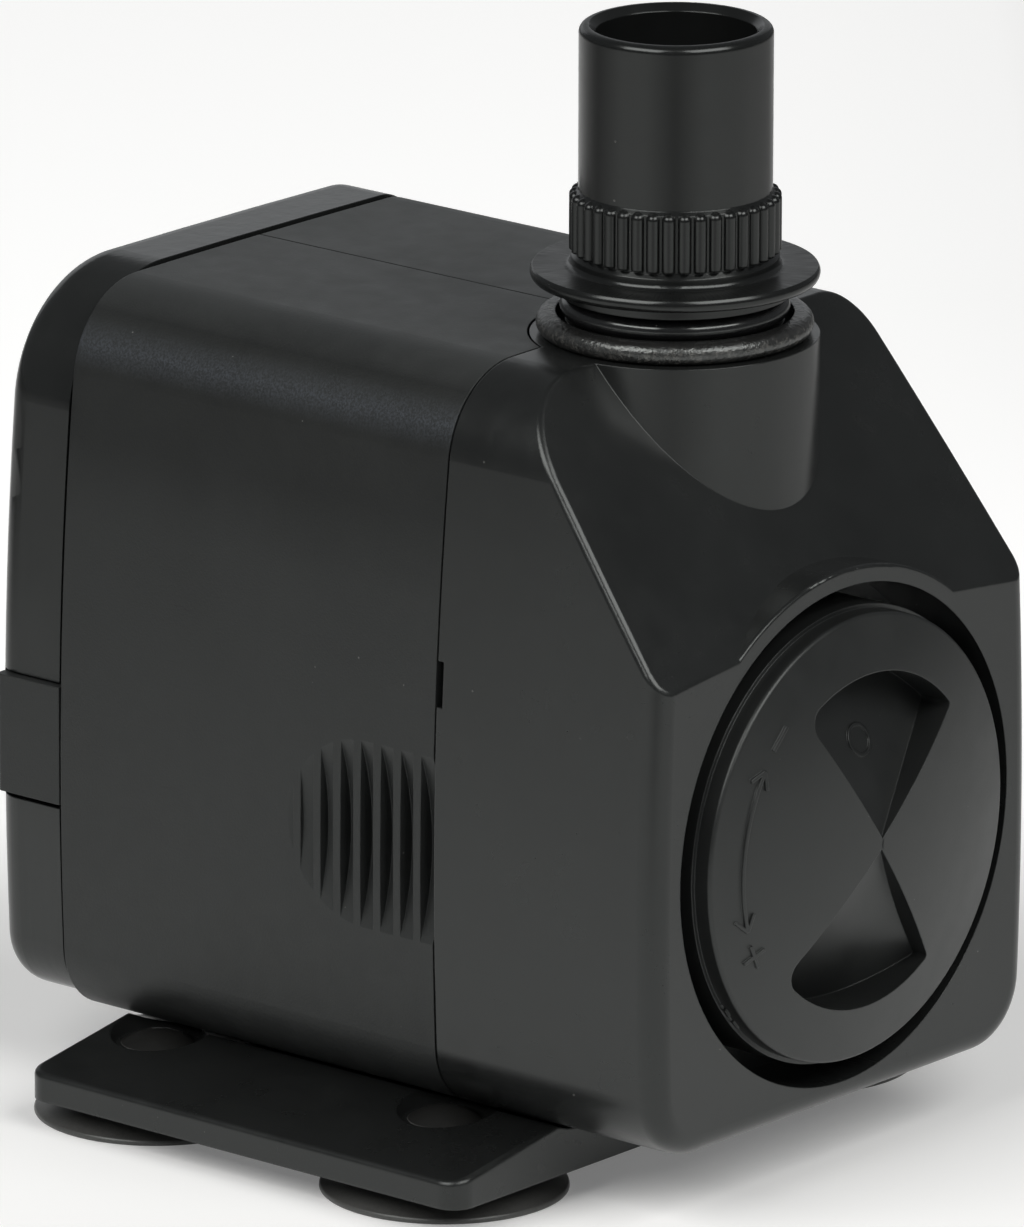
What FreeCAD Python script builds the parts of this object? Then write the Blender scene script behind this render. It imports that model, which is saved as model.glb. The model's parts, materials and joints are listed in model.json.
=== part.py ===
"""Small submersible fountain pump, millimetres, +Z up, dial at the front (-Y), outlet at the top.

The origin is on the surface the suction cups stand on, midway between the dial's crown and
the cord gland's rear face. The rotor and the flow dial share one axis along Y.
"""
import FreeCAD, Part
import math
import os

V = FreeCAD.Vector
X_DIR = V(1, 0, 0)
Y_DIR = V(0, 1, 0)
Z_DIR = V(0, 0, 1)

# ---- places along Y, all counted from the outlet's axis ----
OUTLET_Y = -17.0
FRONT_Y = OUTLET_Y - 18.5          # flat front face of the front cover
SEAM_Y = OUTLET_Y + 5.15           # middle of the seam between front cover and motor housing
HOUSING_END_Y = OUTLET_Y + 46.15
COVER_END_Y = OUTLET_Y + 54.7
GLAND_END_Y = OUTLET_Y + 56.4
SEAM_HALF_GAP = 0.1

# ---- body section ----
AXIS_Z = 29.7                      # height of the rotor and dial axis
HALF_WIDTH = 24.45
WIDEST_Z = 27.0
SIDE_CROWN_R = 320.0
TOP_Z = 69.3
TOP_CROWN_R = 1500.0
BOTTOM_Z = 6.45
TOP_CORNER_R = (8.0, 4.7)           # left and right, seen from the front
PARTING_X = (0.9, 1.1)             # fine step across the housing's top
PARTING_DEPTH = 0.12
BOTTOM_CORNER_R = 6.0
WALL = 2.1

# ---- front cover ----
SLOPE_FOOT_Z = 46.4                # where the sloping brow leaves the front face
SLOPE_RISE = 1.265                 # rise of the brow per unit of depth
BROW_CROWN_R = 285.0               # the brow bulges slightly across its width
FRONT_EDGE_R = 1.9
BROW_EDGE_R = 0.6
FRONT_LAYERS_Z = (0, 12.5, 17, 21.5, 26, 30.5, 35, 39.5, 43, 90)
RECESS_R = 21.2
COLLAR_R = 22.7
COLLAR_RIM_R = 0.3
RECESS_DEPTH = 7.5
FLOOR_T = 2.0
BOSS_R = 11.95
BOSS_TOP_Z = 69.25
SOCKET_R = 9.2
SOCKET_FLOOR_Z = 57.4
BOSS_FOOT_Z = 56.2
PASSAGE_R = 5.0
CHAMBER_R = 15.0
CHAMBER_WALL = 2.4
NOTCH_Z = (41.5, 45.4)

# ---- flow dial ----
DIAL_R = 18.93
DIAL_EDGE_Y = OUTLET_Y - 19.7
DIAL_CROWN_Y = OUTLET_Y - 22.4
DIAL_SKIRT_R = 19.3
DIAL_WALL = 1.5
STEM_R = 2.95
RUNNING_GAP = 0.05
WEDGE_R = 14.2
WEDGE_HALF_ANGLE = 42.5
WEDGE_TILT = 7.5                   # clockwise from upright, seen from the front
WEDGE_DEPTH = 4.6
WEDGE_SHIFT = 0.45                 # a narrow bridge stays between the pockets' points
WEDGE_CORNER_R = (1.6, 0.4)        # left and right outer corners
SCOOP_R = 30.0                     # trough in the lower pocket's floor
WINDOW_COUNT = 4
WINDOW_ANGLE = 40.0
WINDOW_R = (9.5, 16.6)
DIAL_CLOSING_TURN = 37.5
MARK_R = 15.8
MARK_HEIGHT = 0.22
EJECTOR_RING_R = 1.45              # witness ring on the upper pocket's floor
EJECTOR_RING_AT = 8.8
GATE_STUB = ((226.5, 1.6, 0.18), (229.2, 0.8, 0.12), (231.8, 1.2, 0.22), (234.0, 0.7, 0.1))

# ---- outlet adapter ----
SPIGOT_R = 8.0
SPIGOT_BORE_R = 6.6
SPIGOT_TOP_Z = 95.3
SPLINE_R = 8.75
SPLINE_ROOT_R = 8.3
SPLINE_COUNT = 40
SPLINE_TOOTH_R = 0.56
SPLINE_Z = (76.3, 81.5)
FLANGE_R = 11.95
FLANGE_Z = (74.0, 75.0)
NECK_R = 9.6
THREAD_R = 9.05
THREAD_CORE_R = 8.3
THREAD_PITCH = 2.0
PLUG_FOOT_Z = 58.2
ORING_SECTION_R = 0.9
ORING_INNER_R = 7.7
ORING_Z = 71.65
GROOVE_Z = (70.6, 72.7)
GASKET_Z = (69.3, 71.1)
GASKET_R = (9.85, 11.45)

# ---- motor ----
WELL_BORE_R = 9.5
WELL_WALL = 1.1
WELL_END_Y = OUTLET_Y + 42.6
SHAFT_R = 1.5
MAGNET_R = 8.9
MAGNET_Y = (OUTLET_Y + 14.2, OUTLET_Y + 37.6)
STACK_Y = (OUTLET_Y + 19.5, OUTLET_Y + 35.5)
LEG_X = (7.0, 14.0)
COIL_Z = (42.0, 55.5)
COIL_BUILD = 3.5
IMPELLER_R = 12.4
BLADE_COUNT = 6
DOG_ANGLE = 60.0

# ---- rear cover, latches and cord gland ----
REAR_INSET = 0.7                   # the rear cover stands in from the housing's outline
REAR_LIFT = 0.8
REAR_EDGE_R = 3.0
REAR_CORNER_R = (12.6, 4.7)
REAR_DROP = 0.9                    # the rear cover's underside stays near the housing's
LATCH_Z = (AXIS_Z - 4.7, AXIS_Z + 5.5)
LATCH_INNER_X = 22.3
LATCH_ROOT_GAP = 0.2
LATCH_Y = (HOUSING_END_Y + LATCH_ROOT_GAP, OUTLET_Y + 53.4)
GLAND_Z = 19.0
GLAND_BODY_R = 3.9
GLAND_FLANGE_R = 5.2
CORD_HOLE_R = 2.75

# ---- grips on the housing's sides ----
GRIP_RIB_COUNT = 7
GRIP_FIRST_RIB_Y = OUTLET_Y + 6.6
GRIP_PITCH = 2.17
GRIP_Z = 29.3
GRIP_R = 8.3
GRIP_DEPTH = 1.5

# ---- base ----
PLATE_HALF_WIDTH = 33.7
PLATE_Y = (OUTLET_Y - 5.3, OUTLET_Y + 42.0)
PLATE_BOTTOM_Z = 2.55
PLATE_EDGE_T = 2.4
WING_SLOPE = 0.16
CUP_X = 22.7
CUP_Y = (OUTLET_Y + 5.4, OUTLET_Y + 37.0)
CUP_R = 10.35
CUP_HEAD_R = 3.1
CUP_HOLE_R = 2.0
RAIL_Y = (OUTLET_Y + 9.0, OUTLET_Y + 41.0)


# ---------------------------------------------------------------- helpers
def box(x0, x1, y0, y1, z0, z1):
    return Part.makeBox(x1 - x0, y1 - y0, z1 - z0, V(x0, y0, z0))


def cyl_y(radius, y0, y1, x=0.0, z=AXIS_Z):
    return Part.makeCylinder(radius, y1 - y0, V(x, y0, z), Y_DIR)


def cyl_z(radius, z0, z1, x=0.0, y=OUTLET_Y):
    return Part.makeCylinder(radius, z1 - z0, V(x, y, z0), Z_DIR)


def tube_y(outer, inner, y0, y1):
    return cyl_y(outer, y0, y1).cut(cyl_y(inner, y0 - 1, y1 + 1))


def line(a, b):
    return Part.LineSegment(a, b).toShape()


def arc(a, middle, b):
    return Part.Arc(a, middle, b).toShape()


def prism_x(points, x0, x1):
    """Closed outline of (y, z) points, swept from x0 to x1."""
    corners = [V(x0, y, z) for y, z in points]
    face = Part.Face(Part.makePolygon(corners + corners[:1]))
    return face.extrude(V(x1 - x0, 0, 0))


def prism_y(points, y0, y1):
    """Closed outline of (x, z) points, swept from y0 to y1."""
    corners = [V(x, y0, z) for x, z in points]
    face = Part.Face(Part.makePolygon(corners + corners[:1]))
    return face.extrude(V(0, y1 - y0, 0))


def turned_z(edges, x=0.0, y=OUTLET_Y):
    """Closed loop of edges in the plane y = 0, turned about a vertical axis at (x, y)."""
    face = Part.Face(Part.Wire(edges))
    solid = face.revolve(V(0, 0, 0), Z_DIR, 360)
    solid.translate(V(x, y, 0))
    return solid


def outline_z(points):
    """Edges of a closed outline of (radius, z) points for turned_z."""
    corners = [V(r, 0, z) for r, z in points]
    return [line(a, b) for a, b in zip(corners, corners[1:] + corners[:1])]


def polar(radius, degrees, y):
    """Point at a clock angle about the rotor axis: 0 is up, positive is clockwise from the front."""
    a = math.radians(degrees)
    return V(radius * math.sin(a), y, AXIS_Z + radius * math.cos(a))


def sector(r0, r1, middle, half_angle, y0, y1):
    """Ring sector about the rotor axis, swept from y0 to y1. r0 may be zero."""
    start = middle - half_angle
    end = middle + half_angle
    outer = arc(polar(r1, start, y0), polar(r1, middle, y0), polar(r1, end, y0))
    if r0 > 0:
        inner = arc(polar(r0, end, y0), polar(r0, middle, y0), polar(r0, start, y0))
        sides = [line(polar(r1, end, y0), polar(r0, end, y0)),
                 line(polar(r0, start, y0), polar(r1, start, y0))]
        edges = [outer, sides[0], inner, sides[1]]
    else:
        centre = V(0, y0, AXIS_Z)
        edges = [outer, line(polar(r1, end, y0), centre), line(centre, polar(r1, start, y0))]
    return Part.Face(Part.Wire(edges)).extrude(V(0, y1 - y0, 0))


def round_edges(shape, radius, chosen):
    edges = [edge for edge in shape.Edges if chosen(edge)]
    return shape.makeFillet(radius, edges) if edges else shape


def mirrored(shape):
    return shape.mirror(V(0, 0, 0), X_DIR)


def both_sides(shape):
    return shape.fuse(mirrored(shape))


# ---------------------------------------------------------------- body section
def circle_meeting(cx1, cz1, r1, cx2, cz2, r2):
    """The higher, right-hand meeting point of two circles in the XZ plane."""
    dx = cx2 - cx1
    dz = cz2 - cz1
    gap = math.hypot(dx, dz)
    along = (r1 * r1 - r2 * r2 + gap * gap) / (2 * gap)
    across = math.sqrt(r1 * r1 - along * along)
    mx = cx1 + along * dx / gap
    mz = cz1 + along * dz / gap
    ends = [(mx - across * dz / gap, mz + across * dx / gap),
            (mx + across * dz / gap, mz - across * dx / gap)]
    return max(ends, key=lambda p: p[0])


def section_block(y0, y1, inset, top_corners=TOP_CORNER_R, drop=0.0):
    """The body's crowned, rounded section, pulled in by inset, swept from y0 to y1."""
    side_cx = HALF_WIDTH - SIDE_CROWN_R
    side_r = SIDE_CROWN_R - inset
    top_cz = TOP_Z - TOP_CROWN_R
    top_r = TOP_CROWN_R - inset
    bottom = BOTTOM_Z + inset - drop
    corner_x, corner_z = circle_meeting(side_cx, WIDEST_Z, side_r, 0.0, top_cz, top_r)
    foot_x = side_cx + math.sqrt(side_r ** 2 - (bottom - WIDEST_Z) ** 2)
    crown_x = HALF_WIDTH - inset
    edges = [
        line(V(-foot_x, y0, bottom), V(foot_x, y0, bottom)),
        arc(V(foot_x, y0, bottom), V(crown_x, y0, WIDEST_Z), V(corner_x, y0, corner_z)),
        arc(V(corner_x, y0, corner_z), V(0, y0, TOP_Z - inset), V(-corner_x, y0, corner_z)),
        arc(V(-corner_x, y0, corner_z), V(-crown_x, y0, WIDEST_Z), V(-foot_x, y0, bottom)),
    ]
    block = Part.Face(Part.Wire(edges)).extrude(V(0, y1 - y0, 0))

    def along_y(edge):
        a = edge.Vertexes[0].Point
        b = edge.Vertexes[-1].Point
        return abs(a.y - b.y) > 0.5 * (y1 - y0)

    for side, radius in zip((-1, 1), top_corners):
        block = round_edges(block, radius - inset,
                            lambda e: along_y(e) and e.CenterOfMass.z > WIDEST_Z
                            and abs(e.CenterOfMass.x - side * corner_x) < 0.01)
    return round_edges(block, BOTTOM_CORNER_R - inset,
                       lambda e: along_y(e) and e.CenterOfMass.z < bottom + 0.5)


def brow_cutter(offset):
    """Everything above the sloping brow, with the brow moved inwards by offset."""
    slope = math.atan(SLOPE_RISE)
    bulge = 3.0
    foot_z = SLOPE_FOOT_Z - (offset + bulge) / math.cos(slope)
    high_z = 90.0
    high_y = FRONT_Y + (high_z - foot_z) / SLOPE_RISE
    lead = 9.0
    outline = [(FRONT_Y - lead, foot_z - lead * SLOPE_RISE), (high_y, high_z), (FRONT_Y - lead, high_z)]
    start, along = brow_axis()
    crown = Part.makeCylinder(BROW_CROWN_R - offset, 240, start - along * 120, along)
    return prism_x(outline, -40, 40).cut(crown)


def brow_axis():
    """A point on the axis of the brow's crowned surface, and the axis's direction up the slope."""
    slope = math.atan(SLOPE_RISE)
    outward = V(0, -math.sin(slope), math.cos(slope))
    depth = math.sqrt(BROW_CROWN_R ** 2 - HALF_WIDTH ** 2)
    return V(0, FRONT_Y, SLOPE_FOOT_Z) - outward * depth, V(0, math.cos(slope), math.sin(slope))


# ---------------------------------------------------------------- front cover
def make_front_cover():
    back_y = SEAM_Y - SEAM_HALF_GAP
    shell = section_block(FRONT_Y, back_y, 0.0)
    shell = round_edges(shell, FRONT_EDGE_R, lambda e: e.BoundBox.YMax < FRONT_Y + 0.01)
    shell = layered(shell, FRONT_LAYERS_Z)
    shell = shell.cut(brow_cutter(0.0))
    shell = soften_brow(shell)

    collar = cyl_y(COLLAR_R, FRONT_Y, FRONT_Y + RECESS_DEPTH)
    collar = round_edges(collar, COLLAR_RIM_R, lambda e: e.BoundBox.YMax < FRONT_Y + 0.01)
    collar = collar.common(box(-30, 30, FRONT_Y, SEAM_Y, SLOPE_FOOT_Z - 3, TOP_Z))
    boss = cyl_z(BOSS_R, BOSS_FOOT_Z, BOSS_TOP_Z)
    boss_root = cyl_z(BOSS_R, BOSS_FOOT_Z - 3, BOSS_FOOT_Z + 1)
    boss_root = boss_root.common(box(-20, 20, FRONT_Y, back_y, 40, 80))
    outer = shell.fuse([collar, boss, boss_root])

    hollow = section_block(FRONT_Y + WALL, SEAM_Y + 1, WALL).cut(brow_cutter(WALL))
    kept = [
        cyl_y(RECESS_R + WALL, FRONT_Y, FRONT_Y + RECESS_DEPTH + FLOOR_T),
        cyl_y(CHAMBER_R + CHAMBER_WALL, OUTLET_Y - 5.6, back_y),
        cyl_z(PASSAGE_R + 2, AXIS_Z + CHAMBER_R, BOSS_FOOT_Z),
        cyl_z(BOSS_R, BOSS_FOOT_Z - 3, BOSS_TOP_Z),
    ]
    cover = outer.cut(hollow.cut(kept))

    cutters = [
        cyl_y(RECESS_R, FRONT_Y - 2, FRONT_Y + RECESS_DEPTH),
        cyl_y(CHAMBER_R, OUTLET_Y - 4, back_y + 1),
        cyl_y(CHAMBER_R + 1.25, OUTLET_Y - 5.7, OUTLET_Y - 3.4),
        cyl_z(SOCKET_R, SOCKET_FLOOR_Z, BOSS_TOP_Z + 1),
        cyl_z(PASSAGE_R, AXIS_Z + CHAMBER_R + 5.3, SOCKET_FLOOR_Z + 1),
        cyl_z(3.6, AXIS_Z + CHAMBER_R - 2, AXIS_Z + CHAMBER_R + 6, y=OUTLET_Y + 0.9),
        cyl_y(STEM_R + RUNNING_GAP, FRONT_Y, OUTLET_Y - 8),
        tube_y(16.9, 15.6, back_y - 1.2, back_y + 1),
        both_sides(box(HALF_WIDTH - 1.3, HALF_WIDTH + 1, back_y - 0.6, back_y + 1, *NOTCH_Z)),
    ]
    floor_y = FRONT_Y + RECESS_DEPTH
    for k in range(WINDOW_COUNT):
        middle = 360.0 / WINDOW_COUNT * (k + 0.5)
        cutters.append(sector(*WINDOW_R, middle, WINDOW_ANGLE / 2, floor_y - 1, floor_y + FLOOR_T + 0.5))
    stop_middle = (DIAL_CLOSING_TURN - WEDGE_TILT) / 2
    stop_half = (DIAL_CLOSING_TURN + WEDGE_TILT) / 2 + 9
    cutters.append(sector(5.4, 7.4, stop_middle, stop_half, floor_y - 1, floor_y + 1.2))
    return cover.cut(cutters)


def layered(shell, levels):
    """The same solid with its faces divided at some heights, so that the rounded edges mesh evenly."""
    pieces = []
    for low, high in zip(levels, levels[1:]):
        pieces.append(shell.common(box(-40, 40, FRONT_Y - 1, SEAM_Y + 1, low, high)))
    return pieces[0].fuse(pieces[1:])


def soften_brow(shell):
    """Round the edges around the sloping brow."""
    start, along = brow_axis()

    def around_brow(edge):
        middle = edge.valueAt((edge.FirstParameter + edge.LastParameter) / 2)
        points = [middle] + [vertex.Point for vertex in edge.Vertexes]
        return all(abs((point - start).cross(along).Length - BROW_CROWN_R) < 0.02 for point in points)
    return round_edges(shell, BROW_EDGE_R, around_brow)


def make_chamber_plate():
    y0 = OUTLET_Y - 5.4
    y1 = OUTLET_Y - 3.4
    plate = cyl_y(CHAMBER_R + 1.2, y0, y1).cut(cyl_y(6.4, y0 - 1, y1 + 1))
    hub = cyl_y(4.1, y0 - 1.2, y1)
    arms = [sector(3.5, 7.0, 120.0 * k, 7.0, y0, y1) for k in range(3)]
    plate = plate.fuse([hub] + arms)
    return plate.cut(cyl_y(2.8, y0 - 2, y1 + 1))


def make_front_bushing():
    body = cyl_y(2.8, OUTLET_Y - 6.6, OUTLET_Y - 3.2)
    return body.cut(cyl_y(SHAFT_R + RUNNING_GAP, OUTLET_Y - 6.1, OUTLET_Y - 3))


def make_chamber_seal():
    return tube_y(16.85, 15.65, SEAM_Y - 1.25, SEAM_Y - 0.05)


def make_outlet_gasket():
    r0, r1 = GASKET_R
    z0, z1 = GASKET_Z
    bulge = (z1 - z0) / 2
    edges = [
        line(V(r0, 0, z0), V(r1 - bulge, 0, z0)),
        arc(V(r1 - bulge, 0, z0), V(r1, 0, z0 + bulge), V(r1 - bulge, 0, z1)),
        line(V(r1 - bulge, 0, z1), V(r0, 0, z1)),
        line(V(r0, 0, z1), V(r0, 0, z0)),
    ]
    return turned_z(edges)


# ---------------------------------------------------------------- flow dial
def dome_radius():
    rise = DIAL_EDGE_Y - DIAL_CROWN_Y
    return (DIAL_R ** 2 + rise ** 2) / (2 * rise)


def dome_y(radius):
    """Depth of the dial's domed face at a distance from its axis."""
    big = dome_radius()
    return DIAL_CROWN_Y + big - math.sqrt(big ** 2 - radius ** 2)


def domed_disc(radius, back_y, offset):
    """Disc with the dial's domed face, moved back by offset."""
    crown = DIAL_CROWN_Y + offset
    edge_y = dome_y(radius) + offset
    half_r = radius / 2
    a = V(0, crown, AXIS_Z)
    b = V(0, edge_y, AXIS_Z + radius)
    c = V(0, back_y, AXIS_Z + radius)
    d = V(0, back_y, AXIS_Z)
    middle = V(0, dome_y(half_r) + offset, AXIS_Z + half_r)
    edges = [arc(a, middle, b), line(b, c), line(c, d), line(d, a)]
    return Part.Face(Part.Wire(edges)).revolve(V(0, 0, AXIS_Z), Y_DIR, 360)


def wedge_pocket(middle, offset, scooped):
    """One finger pocket of the dial, grown by offset on every side for its backing wall."""
    radius = WEDGE_R + offset
    start_y = DIAL_CROWN_Y - 3
    end_y = dome_y(WEDGE_R) + WEDGE_DEPTH + offset
    shift = WEDGE_SHIFT - offset / math.sin(math.radians(WEDGE_HALF_ANGLE))
    apex = polar(shift, middle, 0)
    pocket = sector(0, radius + abs(shift) + 1, middle, WEDGE_HALF_ANGLE, start_y, end_y)
    pocket.translate(V(apex.x, 0, apex.z - AXIS_Z))
    pocket = pocket.common(cyl_y(radius, start_y - 1, end_y + 1))
    if offset == 0:
        for side, corner_r in zip((-1, 1), WEDGE_CORNER_R):
            pocket = round_edges(pocket, corner_r, lambda e: is_outer_corner(e, WEDGE_R, side))
    slope = pocket_slope()
    if scooped:
        floor = Part.makeCylinder(SCOOP_R, 60, V(0, 0, -20), Z_DIR)
        lift = -SCOOP_R / math.cos(slope)
    else:
        floor = box(-40, 40, -40, 0, -30, 60)
        lift = offset / math.cos(slope)
    return pocket.common(onto_pocket_floor(floor, middle, lift))


def pocket_slope():
    """Angle of a pocket's floor, which falls from the dial's crown to the pocket's outer wall."""
    return math.atan((dome_y(WEDGE_R) + WEDGE_DEPTH - DIAL_CROWN_Y) / WEDGE_R)


def onto_pocket_floor(shape, middle, lift):
    """Lay a shape modelled on the plane y = 0, with +Z outwards, on the sloping floor of a pocket."""
    shape.rotate(V(0, 0, 0), X_DIR, -math.degrees(pocket_slope()))
    shape.translate(V(0, DIAL_CROWN_Y + lift, 0))
    shape.rotate(V(0, 0, 0), Y_DIR, middle)
    shape.translate(V(0, 0, AXIS_Z))
    return shape


def ejector_ring():
    ring_height = 0.14
    ring = tube_y(EJECTOR_RING_R, EJECTOR_RING_R - 0.3, -ring_height, 0.3)
    ring.translate(V(0, 0, EJECTOR_RING_AT - AXIS_Z))
    return onto_pocket_floor(ring, WEDGE_TILT, 0.0)


def gate_stub():
    """Rough remains of the moulding gate on the dial's rim."""
    y1 = DIAL_EDGE_Y + 1.7
    return [sector(DIAL_R - 0.3, DIAL_R + reach, angle, width, y1 - 2 * reach, y1)
            for angle, width, reach in GATE_STUB]


def is_outer_corner(edge, radius, side):
    a = edge.Vertexes[0].Point
    b = edge.Vertexes[-1].Point
    far = abs(math.hypot(a.x, a.z - AXIS_Z) - radius) < 0.05
    return far and a.x * side > 0 and abs(a.x - b.x) < 0.01 and abs(a.z - b.z) < 0.01


def dial_marks():
    """Raised minus sign, double-headed arc arrow and plus sign, left of the pockets."""
    y0 = DIAL_CROWN_Y - 1
    y1 = DIAL_EDGE_Y + 2
    width = 0.3

    def bar(middle, turn, length):
        stroke = box(-length / 2, length / 2, y0, y1, -width / 2, width / 2)
        stroke.rotate(V(0, 0, 0), Y_DIR, turn)
        place = polar(MARK_R, middle, 0)
        stroke.translate(V(place.x, 0, place.z))
        return stroke

    arrow_middle = -81.0
    arrow_half = 24.0
    marks = [sector(MARK_R - width / 2, MARK_R + width / 2, arrow_middle, arrow_half, y0, y1)]
    for side in (-1, 1):
        tip = arrow_middle + side * (arrow_half + 1.0)
        heading = tip + (0 if side < 0 else 180)
        for lean in (-35, 35):
            head = box(-1.6, 0, y0, y1, -width / 2, width / 2)
            head.rotate(V(0, 0, 0), Y_DIR, heading + lean + 180)
            place = polar(MARK_R, tip, 0)
            head.translate(V(place.x, 0, place.z))
            marks.append(head)
    minus_at = arrow_middle + arrow_half + 12.0
    plus_at = arrow_middle - arrow_half - 10.0
    marks.append(bar(minus_at, minus_at, 2.4))
    marks.append(bar(plus_at, plus_at, 2.2))
    marks.append(bar(plus_at, plus_at + 90, 2.2))
    raised = domed_disc(DIAL_R - 0.4, DIAL_EDGE_Y + 1, -MARK_HEIGHT)
    return [mark.common(raised) for mark in marks]


def make_flow_dial():
    back_y = FRONT_Y + RECESS_DEPTH - 1.2
    step_y = DIAL_EDGE_Y + 1.6
    cap = domed_disc(DIAL_R, step_y + 0.2, 0)
    cap = round_edges(cap, 0.35, lambda e: abs(e.CenterOfMass.y - DIAL_EDGE_Y) < 0.2 and e.Length > 20)
    skirt = cyl_y(DIAL_SKIRT_R, step_y, back_y)
    dial = cap.fuse(skirt)
    hollow = domed_disc(DIAL_SKIRT_R - DIAL_WALL, back_y + 1, DIAL_WALL)
    upper = WEDGE_TILT
    lower = WEDGE_TILT + 180
    backing = [wedge_pocket(upper, DIAL_WALL, False), wedge_pocket(lower, DIAL_WALL, False)]
    stem = cyl_y(STEM_R + 1.5, DIAL_CROWN_Y + 1, FRONT_Y + RECESS_DEPTH - 0.2)
    dial = dial.cut(hollow.cut(backing + [stem]))
    dial = dial.cut([wedge_pocket(upper, 0, False), wedge_pocket(lower, 0, True)])
    slots = []
    slot_count = 16
    for k in range(slot_count):
        turn = 360.0 / slot_count * k
        slots.append(sector(DIAL_SKIRT_R - 3, DIAL_SKIRT_R + 1, turn, 5.0, back_y - 2.6, back_y + 1))
    dial = dial.cut(slots)
    stop_lug = sector(5.6, 7.2, 0, 7.5, FRONT_Y + 4.6, FRONT_Y + RECESS_DEPTH + 1.0)
    web = sector(3.0, 7.2, 0, 7.5, FRONT_Y + 4.6, FRONT_Y + RECESS_DEPTH - 0.3)
    pin = cyl_y(STEM_R, back_y - 2.0, OUTLET_Y - 7.0)
    return dial.fuse([pin, stop_lug, web, ejector_ring()] + gate_stub() + dial_marks())


def make_flow_shutter():
    y0 = OUTLET_Y - 8.7
    y1 = OUTLET_Y - 7.2
    disc = cyl_y(17.6, y0, y1)
    cutters = [cyl_y(STEM_R, y0 - 1, y1 + 1)]
    for k in range(WINDOW_COUNT):
        middle = 360.0 / WINDOW_COUNT * (k + 0.5) + WEDGE_TILT
        cutters.append(sector(*WINDOW_R, middle, WINDOW_ANGLE / 2, y0 - 1, y1 + 1))
    return disc.cut(cutters)


# ---------------------------------------------------------------- motor housing
def make_motor_housing():
    front_y = SEAM_Y + SEAM_HALF_GAP
    front_wall = 2.5
    shell = section_block(front_y, HOUSING_END_Y, 0.0)
    hollow = section_block(front_y + front_wall, HOUSING_END_Y + 1, WALL)
    hollow = hollow.cut([cyl_z(BOSS_R + 1.9, BOSS_FOOT_Z - 2, 90),
                         cyl_y(WELL_BORE_R + WELL_WALL, front_y, WELL_END_Y)])
    shell = shell.cut(hollow)
    lip = section_block(SEAM_Y - 2.0, front_y + 1, WALL + 0.2)
    lip = lip.cut([section_block(SEAM_Y - 3, front_y + 2, WALL + 1.4), cyl_z(BOSS_R + 0.4, 50, 90)])
    shell = shell.fuse([lip, rail()])
    cutters = [
        cyl_y(WELL_BORE_R, front_y - 1, WELL_END_Y - 1.2),
        cyl_z(BOSS_R + 0.2, BOSS_FOOT_Z - 0.2, 90),
        box(*PARTING_X, front_y, HOUSING_END_Y, TOP_Z - PARTING_DEPTH, TOP_Z + 1),
    ]
    shell = shell.cut(cutters)
    bushing_ring = tube_y(4.9, 3.5, OUTLET_Y + 38.6, WELL_END_Y - 0.5)
    shell = shell.fuse(bushing_ring)
    for side in (-1, 1):
        shell = cut_grip(shell, side)
    return shell.removeSplitter()


def cut_grip(shell, side):
    """Shallow half-stadium scoop with saw-tooth ribs, whose crests reach the side's surface."""
    end_y = GRIP_FIRST_RIB_Y + GRIP_PITCH * (GRIP_RIB_COUNT - 1)
    centre_y = end_y + 1.3 - GRIP_R
    ball_r = (GRIP_R ** 2 + GRIP_DEPTH ** 2) / (2 * GRIP_DEPTH)
    ball_x = side * (HALF_WIDTH + ball_r - GRIP_DEPTH)
    ball = Part.makeSphere(ball_r, V(ball_x, centre_y, GRIP_Z))
    channel = Part.makeCylinder(ball_r, centre_y - SEAM_Y + 2, V(ball_x, SEAM_Y - 2, GRIP_Z), Y_DIR)
    scoop = ball.fuse(channel)
    start_y = SEAM_Y + SEAM_HALF_GAP
    window = box(min(0, side * 40), max(0, side * 40), start_y, end_y + 3, GRIP_Z - 12, GRIP_Z + 12)
    scoop = scoop.common(window)
    surface = section_block(start_y, end_y + 4, 0.0)
    filled = scoop.common(surface)
    teeth = []
    crest_x = HALF_WIDTH + 0.5
    floor_x = HALF_WIDTH - GRIP_DEPTH - 0.3
    for k in range(GRIP_RIB_COUNT):
        crest_y = GRIP_FIRST_RIB_Y + GRIP_PITCH * k
        points = [(floor_x, crest_y - 0.1), (crest_x, crest_y), (crest_x, crest_y + 0.35),
                  (floor_x, crest_y + GRIP_PITCH - 0.15)]
        corners = [V(side * x, y, GRIP_Z - 12) for x, y in points]
        face = Part.Face(Part.makePolygon(corners + corners[:1]))
        teeth.append(face.extrude(V(0, 0, 24)).common(filled))
    return shell.cut(scoop).fuse(teeth)


def rail_outline(grow):
    """Dovetail under the housing, wider at its foot, as (x, z) points."""
    top = BOTTOM_Z + 0.6
    foot = BOTTOM_Z - 1.7 - grow
    return [(-5.0 - grow, top), (-6.4 - grow, foot), (6.4 + grow, foot), (5.0 + grow, top)]


def rail():
    return prism_y(rail_outline(0.0), *RAIL_Y)


def make_rear_bushing():
    body = cyl_y(3.45, OUTLET_Y + 38.5, WELL_END_Y - 1.25)
    return body.cut(cyl_y(SHAFT_R, OUTLET_Y + 38, WELL_END_Y - 1.6))


# ---------------------------------------------------------------- rear cover
def rear_block(y0, y1, inset):
    block = section_block(y0, y1, inset + REAR_INSET, REAR_CORNER_R, REAR_DROP)
    block.translate(V(0, 0, REAR_LIFT))
    return block


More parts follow.
